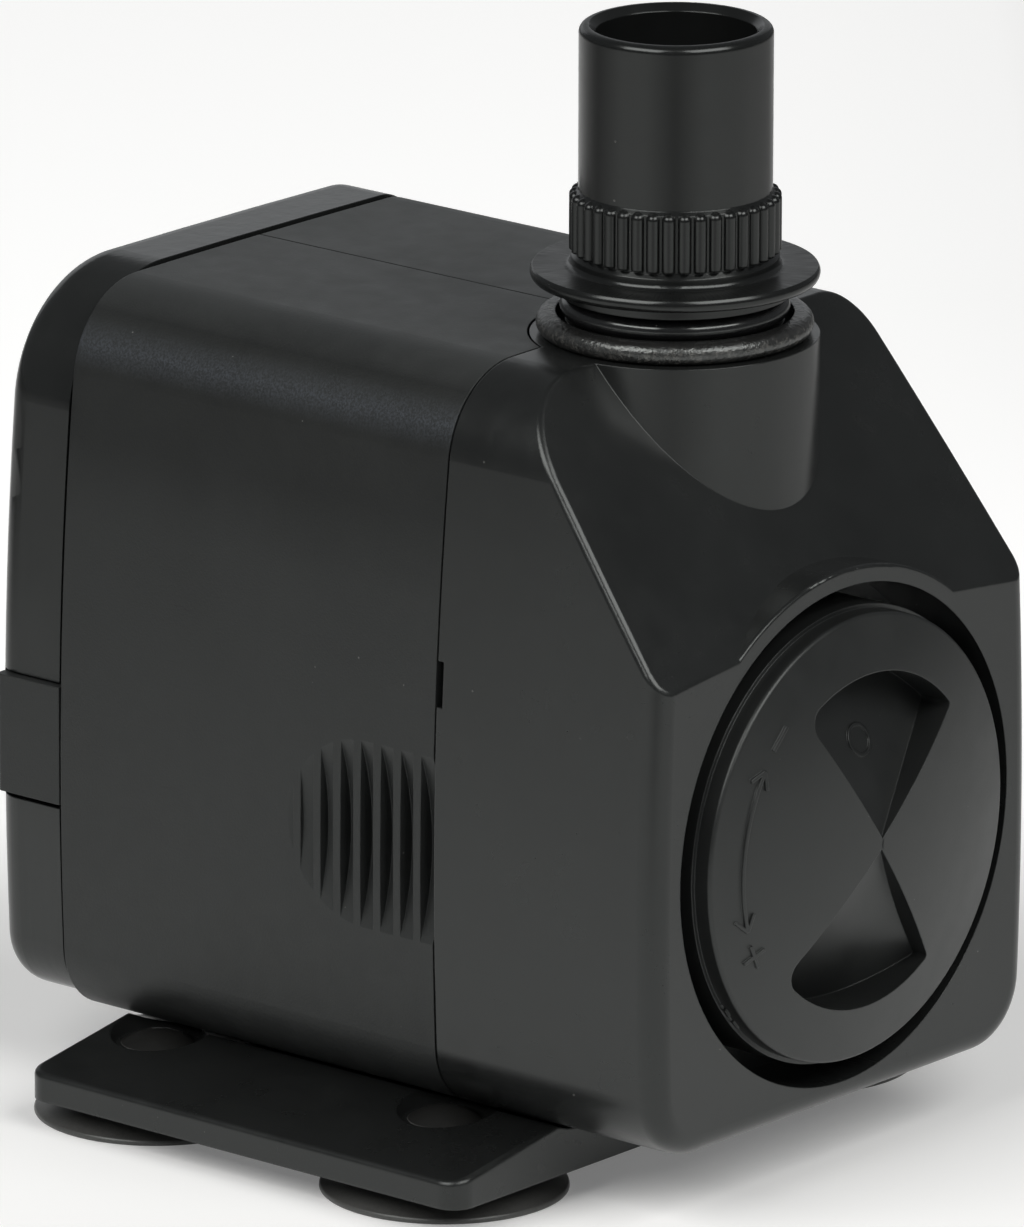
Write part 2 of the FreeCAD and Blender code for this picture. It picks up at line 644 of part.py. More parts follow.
def make_rear_cover():
    flange_y = HOUSING_END_Y + 0.8
    cover = rear_block(flange_y, COVER_END_Y, 0.0)
    cover = round_edges(cover, REAR_EDGE_R, lambda e: e.BoundBox.YMin > COVER_END_Y - 0.01)
    cover = cover.cut(rear_block(flange_y - 1, COVER_END_Y - 2.0, 2.0))
    plug = section_block(HOUSING_END_Y - 2.5, flange_y + 0.5, WALL + 0.1)
    plug = plug.cut(section_block(HOUSING_END_Y - 3, flange_y + 1, WALL + 1.7))
    ledge = section_block(flange_y, flange_y + 1.2, WALL + 0.1)
    ledge = ledge.common(rear_block(flange_y, flange_y + 2, 0.3))
    ledge = ledge.cut(section_block(flange_y - 1, flange_y + 3, WALL + 1.7))
    cover = cover.fuse([plug, ledge])
    z0, z1 = LATCH_Z
    end_y = LATCH_Y[1]
    slot = box(LATCH_INNER_X - 0.15, 30, HOUSING_END_Y - 0.1, end_y + 0.25, z0 - 0.6, z1 + 0.15)
    notch = box(LATCH_INNER_X - 1.2, LATCH_INNER_X + 1, end_y - 2.0, end_y + 0.1, z0 + 1.6, z1 - 1.6)
    pad = box(LATCH_INNER_X - 2.2, LATCH_INNER_X + 0.3, flange_y, COVER_END_Y - 1.5, z0 - 1.8, z1 + 1.4)
    cover = cover.fuse(both_sides(pad))
    hole = cyl_y(GLAND_BODY_R + RUNNING_GAP, COVER_END_Y - 4, COVER_END_Y + 1, z=GLAND_Z)
    collar = cyl_y(GLAND_BODY_R + 1.8, COVER_END_Y - 3.5, COVER_END_Y - 1, z=GLAND_Z)
    cover = cover.fuse(collar)
    return cover.cut([both_sides(slot), both_sides(notch), hole])


def make_latch(side):
    """Spring tongue over the rear cover's side, with its hook at the rear end."""
    y0, y1 = LATCH_Y
    z0, z1 = LATCH_Z
    outer = HALF_WIDTH - 0.02
    tongue = box(LATCH_INNER_X, outer, y0, y1, z0, z1)
    corner = V(outer, y1, (z0 + z1) / 2)
    tongue = round_edges(tongue, 0.6, lambda e: (e.CenterOfMass - corner).Length < 0.01)
    hook = prism_x([(y1 - 1.6, z0 + 2), (y1 - 0.3, z0 + 2), (y1 - 0.3, z1 - 2), (y1 - 1.6, z1 - 2)],
                   LATCH_INNER_X - 0.7, LATCH_INNER_X + 0.2)
    latch = tongue.fuse(hook)
    return latch if side > 0 else mirrored(latch)


def make_cord_gland():
    """Rubber bush for the mains cord: flange inside the cover, tapered nose outside."""
    nose = Part.makeCone(GLAND_FLANGE_R, 4.3, GLAND_END_Y - COVER_END_Y, V(0, COVER_END_Y, GLAND_Z), Y_DIR)
    nose = round_edges(nose, 0.6, lambda e: e.CenterOfMass.y > GLAND_END_Y - 0.01)
    body = cyl_y(GLAND_BODY_R, COVER_END_Y - 3.5, COVER_END_Y, z=GLAND_Z)
    flange = cyl_y(GLAND_FLANGE_R, COVER_END_Y - 5.0, COVER_END_Y - 3.5, z=GLAND_Z)
    bore = cyl_y(CORD_HOLE_R, COVER_END_Y - 6, GLAND_END_Y + 1, z=GLAND_Z)
    return nose.fuse([body, flange]).cut(bore)


# ---------------------------------------------------------------- outlet adapter
def spline_ring():
    """Collar ringed with half-round grip teeth, domed at the top."""
    z0, z1 = SPLINE_Z
    root_r = SPLINE_ROOT_R
    collar = turned_z(outline_z([(0, z0), (root_r, z0), (root_r, z1 - 0.35), (SPIGOT_R, z1), (0, z1)]))
    r = SPLINE_TOOTH_R
    low = z0 + 0.1
    high = z1 - 0.15 - r
    bevel = 0.12
    half = r * math.sqrt(0.5)
    tooth = turned_z([
        line(V(0, 0, low), V(0, 0, high + r)),
        arc(V(0, 0, high + r), V(half, 0, high + half), V(r, 0, high)),
        line(V(r, 0, high), V(r, 0, low + bevel)),
        line(V(r, 0, low + bevel), V(r - bevel, 0, low)),
        line(V(r - bevel, 0, low), V(0, 0, low)),
    ], SPLINE_R - r, 0)
    teeth = []
    for k in range(SPLINE_COUNT):
        copy = tooth.copy()
        copy.rotate(V(0, 0, 0), Z_DIR, 360.0 / SPLINE_COUNT * k)
        copy.translate(V(0, OUTLET_Y, 0))
        teeth.append(copy)
    return [collar] + teeth


def make_outlet_adapter():
    rim = 0.65
    top = SPIGOT_TOP_Z
    f0, f1 = FLANGE_Z
    g0, g1 = GROOVE_Z
    groove_r = ORING_INNER_R - 0.1
    lip_r = 8.7
    body_edges = [
        line(V(0, 0, PLUG_FOOT_Z), V(THREAD_CORE_R, 0, PLUG_FOOT_Z)),
        line(V(THREAD_CORE_R, 0, PLUG_FOOT_Z), V(THREAD_CORE_R, 0, 69.0)),
        line(V(THREAD_CORE_R, 0, 69.0), V(THREAD_R, 0, 69.4)),
        line(V(THREAD_R, 0, 69.4), V(THREAD_R, 0, g0 - 0.1)),
        line(V(THREAD_R, 0, g0 - 0.1), V(groove_r, 0, g0)),
        line(V(groove_r, 0, g0), V(groove_r, 0, g1)),
        line(V(groove_r, 0, g1), V(NECK_R, 0, g1 + 0.1)),
        line(V(NECK_R, 0, g1 + 0.1), V(NECK_R, 0, f0)),
        line(V(NECK_R, 0, f0), V(FLANGE_R - 0.2, 0, f0)),
        arc(V(FLANGE_R - 0.2, 0, f0), V(FLANGE_R, 0, (f0 + f1) / 2), V(FLANGE_R - 0.2, 0, f1)),
        line(V(FLANGE_R - 0.2, 0, f1), V(lip_r + 0.45, 0, f1)),
        arc(V(lip_r + 0.45, 0, f1), V(lip_r + 0.1, 0, f1 + 0.12), V(lip_r - 0.1, 0, f1 + 0.45)),
        line(V(lip_r - 0.1, 0, f1 + 0.45), V(lip_r - 0.1, 0, SPLINE_Z[0] - 0.4)),
        line(V(lip_r - 0.1, 0, SPLINE_Z[0] - 0.4), V(SPIGOT_R, 0, SPLINE_Z[0] + 0.3)),
        line(V(SPIGOT_R, 0, SPLINE_Z[0] + 0.3), V(SPIGOT_R, 0, top - rim)),
        arc(V(SPIGOT_R, 0, top - rim), V(SPIGOT_R - 0.19, 0, top - 0.19), V(SPIGOT_R - rim, 0, top)),
        line(V(SPIGOT_R - rim, 0, top), V(0, 0, top)),
        line(V(0, 0, top), V(0, 0, PLUG_FOOT_Z)),
    ]
    adapter = turned_z(body_edges)
    threads = []
    crest_half = 0.35
    flank = 0.35
    z = PLUG_FOOT_Z + 1.4
    while z < 68.3:
        threads.append(turned_z(outline_z([
            (THREAD_CORE_R - 0.3, z - crest_half - flank), (THREAD_R, z - crest_half),
            (THREAD_R, z + crest_half), (THREAD_CORE_R - 0.3, z + crest_half + flank)])))
        z += THREAD_PITCH
    adapter = adapter.fuse(spline_ring() + threads)
    bore = cyl_z(SPIGOT_BORE_R, PLUG_FOOT_Z - 1, top + 1)
    throat = Part.makeCone(SPIGOT_BORE_R, SPIGOT_BORE_R + 0.6, 0.6, V(0, OUTLET_Y, top - 0.6), Z_DIR)
    return adapter.cut([bore, throat])


def make_adapter_oring():
    ring = Part.makeTorus(ORING_INNER_R + ORING_SECTION_R, ORING_SECTION_R, V(0, OUTLET_Y, ORING_Z), Z_DIR)
    return ring


# ---------------------------------------------------------------- rotating parts
def blade(turn):
    """Backward-curved blade: an arc-shaped wall from the hub to the rim."""
    y0 = OUTLET_Y - 2.4
    y1 = OUTLET_Y + 3.6
    bend_r = 10.5
    wall = Part.makeCylinder(bend_r + 0.6, y1 - y0, V(6.4, y0, 8.3), Y_DIR)
    wall = wall.cut(Part.makeCylinder(bend_r - 0.6, y1 - y0 + 2, V(6.4, y0 - 1, 8.3), Y_DIR))
    wall = wall.common(Part.makeCylinder(IMPELLER_R, y1 - y0, V(0, y0, 0), Y_DIR))
    wall = wall.common(box(-20, 0.8, y0, y1, 0, 20))
    wall.rotate(V(0, 0, 0), Y_DIR, turn)
    wall.translate(V(0, 0, AXIS_Z))
    return wall


def make_impeller():
    shroud_y = OUTLET_Y + 3.2
    hub = cyl_y(3.2, OUTLET_Y - 2.4, OUTLET_Y + 10.4)
    shroud = cyl_y(IMPELLER_R + 0.2, shroud_y, OUTLET_Y + 4.4)
    dog = sector(2.5, 6.8, 0, DOG_ANGLE / 2, OUTLET_Y + 4.0, OUTLET_Y + 9.6)
    blades = [blade(360.0 / BLADE_COUNT * k) for k in range(BLADE_COUNT)]
    wheel = hub.fuse([shroud, dog] + blades)
    return wheel.cut(cyl_y(SHAFT_R + RUNNING_GAP, OUTLET_Y - 4, OUTLET_Y + 12))


def make_thrust_washer():
    return tube_y(3.0, SHAFT_R + RUNNING_GAP, OUTLET_Y - 3.1, OUTLET_Y - 2.5)


def make_rotor_sleeve():
    """Plastic carrier through the magnet, with the lost-motion dog that drives the impeller."""
    barrel = cyl_y(3.5, OUTLET_Y + 10.8, OUTLET_Y + 38.0)
    flange = cyl_y(8.2, OUTLET_Y + 12.7, MAGNET_Y[0])
    dog = sector(3.6, 6.8, DOG_ANGLE + 1.0, DOG_ANGLE / 2, OUTLET_Y + 8.0, OUTLET_Y + 13.0)
    sleeve = barrel.fuse([flange, dog])
    return sleeve.cut(cyl_y(SHAFT_R + RUNNING_GAP, OUTLET_Y, OUTLET_Y + 40))


def make_rotor_magnet():
    magnet = tube_y(MAGNET_R, 3.55, *MAGNET_Y)
    return round_edges(magnet, 0.5, lambda e: e.Length > 40 and abs(e.CenterOfMass.y - MAGNET_Y[0]) < 0.01
                       or e.Length > 40 and abs(e.CenterOfMass.y - MAGNET_Y[1]) < 0.01)


def make_ceramic_shaft():
    shaft = cyl_y(SHAFT_R, OUTLET_Y - 6.0, WELL_END_Y - 1.8)
    return round_edges(shaft, 0.3, lambda e: abs(e.Length - 2 * math.pi * SHAFT_R) < 0.1)


# ---------------------------------------------------------------- stator
def make_stator_core():
    """Laminated U core: two poles around the rotor well, two legs and a yoke."""
    y0, y1 = STACK_Y
    poles = box(-17.5, 17.5, y0, y1, 18.5, 41.5)
    poles = round_edges(poles, 4.0, lambda e: abs(e.Length - (y1 - y0)) < 0.01)
    legs = both_sides(box(LEG_X[0], LEG_X[1], y0, y1, 40, 62.5))
    yoke = box(-LEG_X[1], LEG_X[1], y0, y1, COIL_Z[1] + 0.3, 62.5)
    core = poles.fuse([legs, yoke])
    core = core.cut([cyl_y(WELL_BORE_R + WELL_WALL + 0.1, y0 - 1, y1 + 1),
                     box(-2.0, 2.0, y0 - 1, y1 + 1, 10, COIL_Z[1] + 0.3)])
    rivets = [cyl_y(1.4, y0 - 0.5, y1 + 0.5, x=side * 15.3, z=22.5) for side in (-1, 1)]
    return core.fuse(rivets)


def coil_frame():
    """Centre and half sizes of a coil's leg, in plan."""
    middle_x = (LEG_X[0] + LEG_X[1]) / 2
    middle_y = (STACK_Y[0] + STACK_Y[1]) / 2
    return middle_x, middle_y, (LEG_X[1] - LEG_X[0]) / 2, (STACK_Y[1] - STACK_Y[0]) / 2


def rounded_post(grow, z0, z1, corner):
    """Upright block around the right-hand leg, grown by grow, with rounded corners."""
    cx, cy, hx, hy = coil_frame()
    post = box(cx - hx - grow, cx + hx + grow, cy - hy - grow, cy + hy + grow, z0, z1)
    return round_edges(post, corner, lambda e: abs(e.Length - (z1 - z0)) < 1e-6)


def make_bobbin(side):
    z0, z1 = COIL_Z
    tube = rounded_post(0.9, z0, z1, 0.8)
    wide = 0.9 + COIL_BUILD
    flanges = [rounded_post(wide, z0, z0 + 0.9, 2.0), rounded_post(wide, z1 - 0.9, z1, 2.0)]
    leg = rounded_post(0.05, z0 - 1, z1 + 1, 0.02)
    bobbin = tube.fuse(flanges).cut(leg)
    return bobbin if side > 0 else mirrored(bobbin)


def make_winding(side):
    z0, z1 = COIL_Z
    winding = rounded_post(0.9 + COIL_BUILD - 0.4, z0 + 0.95, z1 - 0.95, 3.0)
    winding = winding.cut(rounded_post(0.95, z0, z1, 0.85))
    return winding if side > 0 else mirrored(winding)


def make_thermal_fuse():
    y = STACK_Y[1] + 0.9 + COIL_BUILD + 1.2
    fuse = Part.makeCylinder(1.1, 8.0, V(-4, y, 48.0), X_DIR)
    pins = Part.makeCylinder(0.3, 14.0, V(-7, y, 48.0), X_DIR)
    return fuse.fuse(pins)


def make_potting(inner_parts):
    """Cast resin that fills the housing around the stator."""
    y0 = SEAM_Y + SEAM_HALF_GAP + 2.55
    y1 = OUTLET_Y + 43.4
    block = section_block(y0, y1, WALL + 0.05)
    block = block.cut([cyl_z(BOSS_R + 1.95, BOSS_FOOT_Z - 2.05, 90),
                       cyl_y(WELL_BORE_R + WELL_WALL + 0.05, y0 - 1, WELL_END_Y + 0.05)])
    for part in inner_parts:
        block = block.cut(part)
    return block


# ---------------------------------------------------------------- base
def make_base_plate():
    y0, y1 = PLATE_Y
    wing_top = PLATE_BOTTOM_Z + PLATE_EDGE_T
    inner_x = 18.0
    inner_z = wing_top + WING_SLOPE * (PLATE_HALF_WIDTH - inner_x)
    outline = [(-PLATE_HALF_WIDTH, PLATE_BOTTOM_Z), (PLATE_HALF_WIDTH, PLATE_BOTTOM_Z),
               (PLATE_HALF_WIDTH, wing_top), (inner_x, inner_z), (-inner_x, inner_z),
               (-PLATE_HALF_WIDTH, wing_top)]
    plate = prism_y(outline, y0, y1)
    corner = lambda e, y: abs(e.CenterOfMass.y - y) < 0.01 and abs(e.Length - PLATE_EDGE_T) < 0.01
    plate = round_edges(plate, 2.0, lambda e: corner(e, y0))
    plate = round_edges(plate, 1.9, lambda e: corner(e, y1))
    plate = plate.cut(section_block(y0 - 5, y1 + 5, -0.25))
    plate = round_edges(plate, 0.5, lambda e: outer_top_edge(e, wing_top))
    cutters = [prism_y(rail_outline(0.15), RAIL_Y[0] - 0.3, y1 + 1)]
    for x in (-CUP_X, CUP_X):
        for y in CUP_Y:
            seat = seat_height()
            cutters.append(cyl_z(CUP_HOLE_R, 0, 12, x, y))
            cutters.append(Part.makeCone(CUP_HEAD_R + 0.35, CUP_HEAD_R + 2.2, 1.9, V(x, y, seat), Z_DIR))
    return plate.cut(cutters)


def outer_top_edge(edge, wing_top):
    c = edge.CenterOfMass
    near_top = edge.BoundBox.ZMin > wing_top - 0.2
    rim = abs(c.x) > PLATE_HALF_WIDTH - 2.5 or c.y < PLATE_Y[0] + 0.01 or c.y > PLATE_Y[1] - 0.01
    return near_top and rim and abs(c.x) > 20.9


def seat_height():
    """Height of the dished seat under a suction cup's head."""
    surface = PLATE_BOTTOM_Z + PLATE_EDGE_T + WING_SLOPE * (PLATE_HALF_WIDTH - CUP_X)
    return surface - 0.95


def cap_middle(radius, edge_z, crown_z):
    """A point half-way out on the spherical cap through an edge radius and a crown."""
    rise = crown_z - edge_z
    ball = (radius ** 2 + rise ** 2) / (2 * rise)
    return V(radius / 2, 0, crown_z - ball + math.sqrt(ball ** 2 - radius ** 2 / 4))


def make_suction_cup(x, y):
    seat = seat_height()
    head = seat + 1.05
    hollow_z = 1.4
    hollow_r = 9.75
    edges = [
        line(V(0, 0, head), V(0, 0, hollow_z)),
        arc(V(0, 0, hollow_z), cap_middle(hollow_r, 0, hollow_z), V(hollow_r, 0, 0)),
        line(V(hollow_r, 0, 0), V(CUP_R, 0, 0)),
        arc(V(CUP_R, 0, 0), V(CUP_R + 0.0, 0, 0.22), V(CUP_R - 0.1, 0, 0.42)),
        arc(V(CUP_R - 0.1, 0, 0.42), V(7.6, 0, 1.55), V(4.2, 0, 2.2)),
        line(V(4.2, 0, 2.2), V(4.2, 0, PLATE_BOTTOM_Z - 0.02)),
        line(V(4.2, 0, PLATE_BOTTOM_Z - 0.02), V(CUP_HOLE_R - 0.03, 0, PLATE_BOTTOM_Z - 0.02)),
        line(V(CUP_HOLE_R - 0.03, 0, PLATE_BOTTOM_Z - 0.02), V(CUP_HOLE_R - 0.03, 0, seat + 0.02)),
        line(V(CUP_HOLE_R - 0.03, 0, seat + 0.02), V(CUP_HEAD_R, 0, seat + 0.02)),
        arc(V(CUP_HEAD_R, 0, seat + 0.02), cap_middle(CUP_HEAD_R, seat + 0.02, head), V(0, 0, head)),
    ]
    return turned_z(edges, x, y)


# ---------------------------------------------------------------- assembly
def build():
    parts = {
        "motor_housing": make_motor_housing(),
        "front_cover": make_front_cover(),
        "rear_cover": make_rear_cover(),
        "cover_latch_left": make_latch(-1),
        "cover_latch_right": make_latch(1),
        "cord_gland": make_cord_gland(),
        "flow_dial": make_flow_dial(),
        "flow_shutter": make_flow_shutter(),
        "chamber_plate": make_chamber_plate(),
        "chamber_seal": make_chamber_seal(),
        "front_bushing": make_front_bushing(),
        "rear_bushing": make_rear_bushing(),
        "outlet_gasket": make_outlet_gasket(),
        "adapter_oring": make_adapter_oring(),
        "outlet_adapter": make_outlet_adapter(),
        "impeller": make_impeller(),
        "thrust_washer": make_thrust_washer(),
        "rotor_sleeve": make_rotor_sleeve(),
        "rotor_magnet": make_rotor_magnet(),
        "ceramic_shaft": make_ceramic_shaft(),
        "stator_core": make_stator_core(),
        "thermal_fuse": make_thermal_fuse(),
        "base_plate": make_base_plate(),
    }
    for name, side in (("left", -1), ("right", 1)):
        parts["coil_bobbin_" + name] = make_bobbin(side)
        parts["coil_winding_" + name] = make_winding(side)
        for row, y in zip(("front", "rear"), CUP_Y):
            parts["suction_cup_%s_%s" % (row, name)] = make_suction_cup(side * CUP_X, y)
    cast_in = ["stator_core", "thermal_fuse", "coil_bobbin_left", "coil_bobbin_right",
               "coil_winding_left", "coil_winding_right"]
    parts["potting_resin"] = make_potting([parts[name] for name in cast_in])
    return parts


os.makedirs("parts", exist_ok=True)
for part_name, part_shape in build().items():
    solids = part_shape.Solids
    whole = solids[0] if len(solids) == 1 else Part.makeCompound(solids)
    whole.exportStep("parts/" + part_name + ".step")
    b = whole.BoundBox
    spans = [b.XMin, b.XMax, b.YMin, b.YMax, b.ZMin, b.ZMax]
    print("%-20s solids %d valid %s vol %9.1f" % (part_name, len(solids), whole.isValid(), whole.Volume),
          " ".join("%7.2f" % value for value in spans))
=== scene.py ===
"""Looks of the submersible fountain pump: charcoal plastics, rubber seals, motor materials and a studio."""
import json
import math
import bpy
from mathutils import Matrix, Vector

MM = 0.001
OUTLET_Y = -17 * MM                     # the outlet's vertical axis stands at x = 0 and this y

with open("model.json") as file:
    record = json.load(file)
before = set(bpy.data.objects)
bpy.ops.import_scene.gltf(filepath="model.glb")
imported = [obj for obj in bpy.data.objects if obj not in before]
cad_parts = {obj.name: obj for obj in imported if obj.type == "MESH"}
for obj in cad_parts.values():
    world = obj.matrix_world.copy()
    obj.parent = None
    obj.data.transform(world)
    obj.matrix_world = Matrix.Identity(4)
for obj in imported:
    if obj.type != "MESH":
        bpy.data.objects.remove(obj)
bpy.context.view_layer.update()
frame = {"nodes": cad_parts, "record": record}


# ---------------------------------------------------------------- material nodes
PLAIN_IOR = 1.49
PLAIN_SPECULAR = 0.5
EDGE_SAMPLES = 6
EDGE_TILT = (0.02, 0.25)                # 1 - cosine of the rounded normal's tilt, from flat to sharp
LOOKS_UP = (0.75, 0.95)                 # the normal's z, from not a top face to a top face
MIX_COLOURS = (6, 7)                    # the Mix node's pair of colour inputs
MIX_RESULT = 2                          # and its colour output


class Shader:
    """A material's node tree, built up one node at a time around a Principled shader."""

    def __init__(self, name, metallic=0.0, specular=PLAIN_SPECULAR):
        self.material = bpy.data.materials.new(name)
        self.material.use_nodes = True
        self.tree = self.material.node_tree
        self.tree.nodes.clear()
        self.shader = self.node("ShaderNodeBsdfPrincipled")
        self.put(self.shader, "Metallic", metallic)
        self.put(self.shader, "IOR", PLAIN_IOR)
        self.put(self.shader, "Specular IOR Level", specular)
        output = self.node("ShaderNodeOutputMaterial")
        self.tree.links.new(self.shader.outputs[0], output.inputs["Surface"])
        self.place = self.node("ShaderNodeTexCoord").outputs["Object"]
        self.normal = self.node("ShaderNodeNewGeometry").outputs["Normal"]

    def node(self, kind, **settings):
        """A new node with the given settings."""
        made = self.tree.nodes.new(kind)
        for key, value in settings.items():
            setattr(made, key, value)
        return made

    def put(self, node, socket, value):
        """Link another node's output to an input, or set the input to a plain value."""
        target = node.inputs[socket]
        if isinstance(value, bpy.types.NodeSocket):
            self.tree.links.new(value, target)
        elif isinstance(value, (tuple, list)) and target.type == "RGBA" and len(value) == 3:
            target.default_value = (*value, 1.0)
        else:
            target.default_value = value

    def math(self, operation, *values, clamp=False):
        """One arithmetic step on one, two or three values."""
        made = self.node("ShaderNodeMath", operation=operation, use_clamp=clamp)
        for index, value in enumerate(values):
            self.put(made, index, value)
        return made.outputs[0]

    def remap(self, value, low, high, to_low=0.0, to_high=1.0):
        """Value carried from low..high to to_low..to_high, held at the ends."""
        made = self.node("ShaderNodeMapRange")
        for index, number in enumerate((value, low, high, to_low, to_high)):
            self.put(made, index, number)
        return made.outputs[0]

    def mix(self, factor, *colours):
        """The first colour where the factor is 0, the second where it is 1."""
        made = self.node("ShaderNodeMix", data_type="RGBA")
        self.put(made, 0, factor)
        for socket, colour in zip(MIX_COLOURS, colours):
            self.put(made, socket, colour)
        return made.outputs[MIX_RESULT]

    def joined(self, x, y, z):
        """A vector made of three numbers."""
        made = self.node("ShaderNodeCombineXYZ")
        for index, value in enumerate((x, y, z)):
            self.put(made, index, value)
        return made.outputs[0]

    def axes(self, vector):
        """The x, y and z of a vector."""
        split = self.node("ShaderNodeSeparateXYZ")
        self.put(split, 0, vector)
        return tuple(split.outputs)

    def stretched(self, factors):
        """The object coordinates multiplied by a factor on each axis."""
        made = self.node("ShaderNodeVectorMath", operation="MULTIPLY")
        self.put(made, 0, self.place)
        self.put(made, 1, factors)
        return made.outputs[0]

    def around(self, x, y):
        """Angle in radians and radius about a vertical axis."""
        place_x, place_y, _ = self.axes(self.place)
        dx = self.math("SUBTRACT", place_x, x)
        dy = self.math("SUBTRACT", place_y, y)
        squares = self.math("ADD", self.math("MULTIPLY", dx, dx), self.math("MULTIPLY", dy, dy))
        return self.math("ARCTAN2", dy, dx), self.math("SQRT", squares)

    def height(self):
        """Height above the floor, in metres."""
        return self.axes(self.place)[2]

    def upward(self):
        """1 on faces that look up, 0 on the rest."""
        return self.remap(self.axes(self.normal)[2], *LOOKS_UP)

    def noise(self, pitch, detail=2.0, stretch=None, roughness=0.5, distortion=0.0, vector=None):
        """Noise whose largest features are about pitch metres apart."""
        made = self.node("ShaderNodeTexNoise")
        where = vector if vector is not None else self.stretched(stretch) if stretch else self.place
        self.put(made, "Vector", where)
        self.put(made, "Scale", 1.0 / pitch)
        self.put(made, "Detail", detail)
        self.put(made, "Roughness", roughness)
        self.put(made, "Distortion", distortion)
        return made.outputs[0]

    def cells(self, pitch, output):
        """Cells about pitch metres across: the Distance from a cell's middle, or the cell's own Color."""
        made = self.node("ShaderNodeTexVoronoi")
        self.put(made, "Vector", self.place)
        self.put(made, "Scale", 1.0 / pitch)
        return made.outputs[output]

    def rounded(self, radius):
        """The surface normal, rounded over sharp edges."""
        made = self.node("ShaderNodeBevel", samples=EDGE_SAMPLES)
        self.put(made, "Radius", radius)
        return made.outputs[0]

    def edges(self, rounded_normal):
        """1 on sharp edges, 0 on flats."""
        dot = self.node("ShaderNodeVectorMath", operation="DOT_PRODUCT")
        self.put(dot, 0, rounded_normal)
        self.put(dot, 1, self.normal)
        return self.remap(self.math("SUBTRACT", 1.0, dot.outputs["Value"]), *EDGE_TILT)

    def bump(self, height, distance, normal):
        """The normal, roughened by a height pattern that is distance metres deep."""
        made = self.node("ShaderNodeBump")
        self.put(made, "Height", height)
        self.put(made, "Distance", distance)
        self.put(made, "Normal", normal)
        return made.outputs[0]

    def finish(self, colour, roughness, normal=None):
        """The finished material."""
        self.put(self.shader, "Base Color", colour)
        self.put(self.shader, "Roughness", roughness)
        if normal is not None:
            self.put(self.shader, "Normal", normal)
        return self.material


# ---------------------------------------------------------------- moulded surfaces
COOL_GLOSS = (0.955, 1.0, 0.985)        # the plastics' highlights are faintly green
MOTTLE_PITCH = 9 * MM
CLOUD_PITCH = 2.2 * MM
PEEL_PITCH = 1.6 * MM
WORN_TINT_SHARE = 0.6
WORN_POLISH = 0.08
DUST_PITCH = 1.6 * MM
DUST_SIZE = 0.055                       # radius of the largest speck, as a share of the pitch
DUST_CHANCE = 0.3                       # share of the cells that hold a speck where specks is 1
DUST_TINT = (0.22, 0.22, 0.21)
DUST_TINT_SHARE = 0.4
# painted glints: pale specks that stand in for the highlights of a rough rubber rim
GLINT_PITCH = 0.45 * MM
GLINT_FADE = 0.5                        # mm of height over which the painted glints set in
GLINT_TINT = (0.062, 0.060, 0.056)
SCUFF_PITCH = 0.22 * MM
SCUFF_STRETCH = (1.0, 0.06, 1.0)        # scuffs run along y
SCUFF_PATCH_PITCH = 11 * MM
SCUFF_ROUGHNESS = 0.12
RAYS_PER_RADIAN = 60.0
RINGS_PER_METRE = 300.0


def scaled(colour, factor):
    """The colour, lighter or darker by a factor."""
    return tuple(channel * factor for channel in colour)


def with_painted_highlight(nodes, base, grain, painted_highlight_band):
    """The colour with a painted highlight: a level band made pale on the tops of the grain."""
    middle, half, tint = painted_highlight_band
    away = nodes.math("ABSOLUTE", nodes.math("SUBTRACT", nodes.height(), middle * MM))
    fade = nodes.remap(away, 0.0, half * MM, 1.0, 0.0)
    return nodes.mix(nodes.math("MULTIPLY", fade, nodes.remap(grain, 0.4, 0.62, 0.25, 1.0)), base, tint)


def dusted(nodes, base, specks):
    """The colour with small pale specks of dust."""
    pick = nodes.node("ShaderNodeSeparateColor")
    nodes.put(pick, 0, nodes.cells(DUST_PITCH, "Color"))
    size = nodes.remap(pick.outputs[0], 1.0 - DUST_CHANCE * specks, 1.0, 0.0, DUST_SIZE)
    dust = nodes.math("LESS_THAN", nodes.cells(DUST_PITCH, "Distance"), size)
    return nodes.mix(nodes.math("MULTIPLY", dust, DUST_TINT_SHARE), base, DUST_TINT)


def with_painted_glints(nodes, base, painted_glints):
    """The colour with painted highlight specks low down, outside a radius about the outlet: glints of the
    rough rim.
    """
    top, inner_radius = painted_glints
    low = nodes.remap(nodes.height(), top * MM, (top - GLINT_FADE) * MM)
    outside = nodes.math("GREATER_THAN", nodes.around(0.0, OUTLET_Y)[1], inner_radius * MM)
    glint = nodes.remap(nodes.noise(GLINT_PITCH, 4.0, roughness=0.75), 0.48, 0.62)
    return nodes.mix(nodes.math("MULTIPLY", nodes.math("MULTIPLY", low, outside), glint), base, GLINT_TINT)


def specular_level(nodes, gloss_levels):
    """Specular level that changes with height and on the faces that look up."""
    low_z, high_z, shoulder, top = gloss_levels
    level = nodes.remap(nodes.height(), low_z * MM, high_z * MM, PLAIN_SPECULAR, shoulder)
    upward = nodes.upward()
    side = nodes.math("MULTIPLY", level, nodes.math("SUBTRACT", 1.0, upward))
    return nodes.math("ADD", side, nodes.math("MULTIPLY", upward, top))


def scuffed(nodes):
    """1 on fine scuffs, which lie in scattered patches."""
    scuffs = nodes.noise(SCUFF_PITCH, 2.0, stretch=SCUFF_STRETCH, distortion=0.4)
    patches = nodes.noise(SCUFF_PATCH_PITCH, 2.0)
    return nodes.math("MULTIPLY", nodes.remap(scuffs, 0.66, 0.74), nodes.remap(patches, 0.55, 0.7))


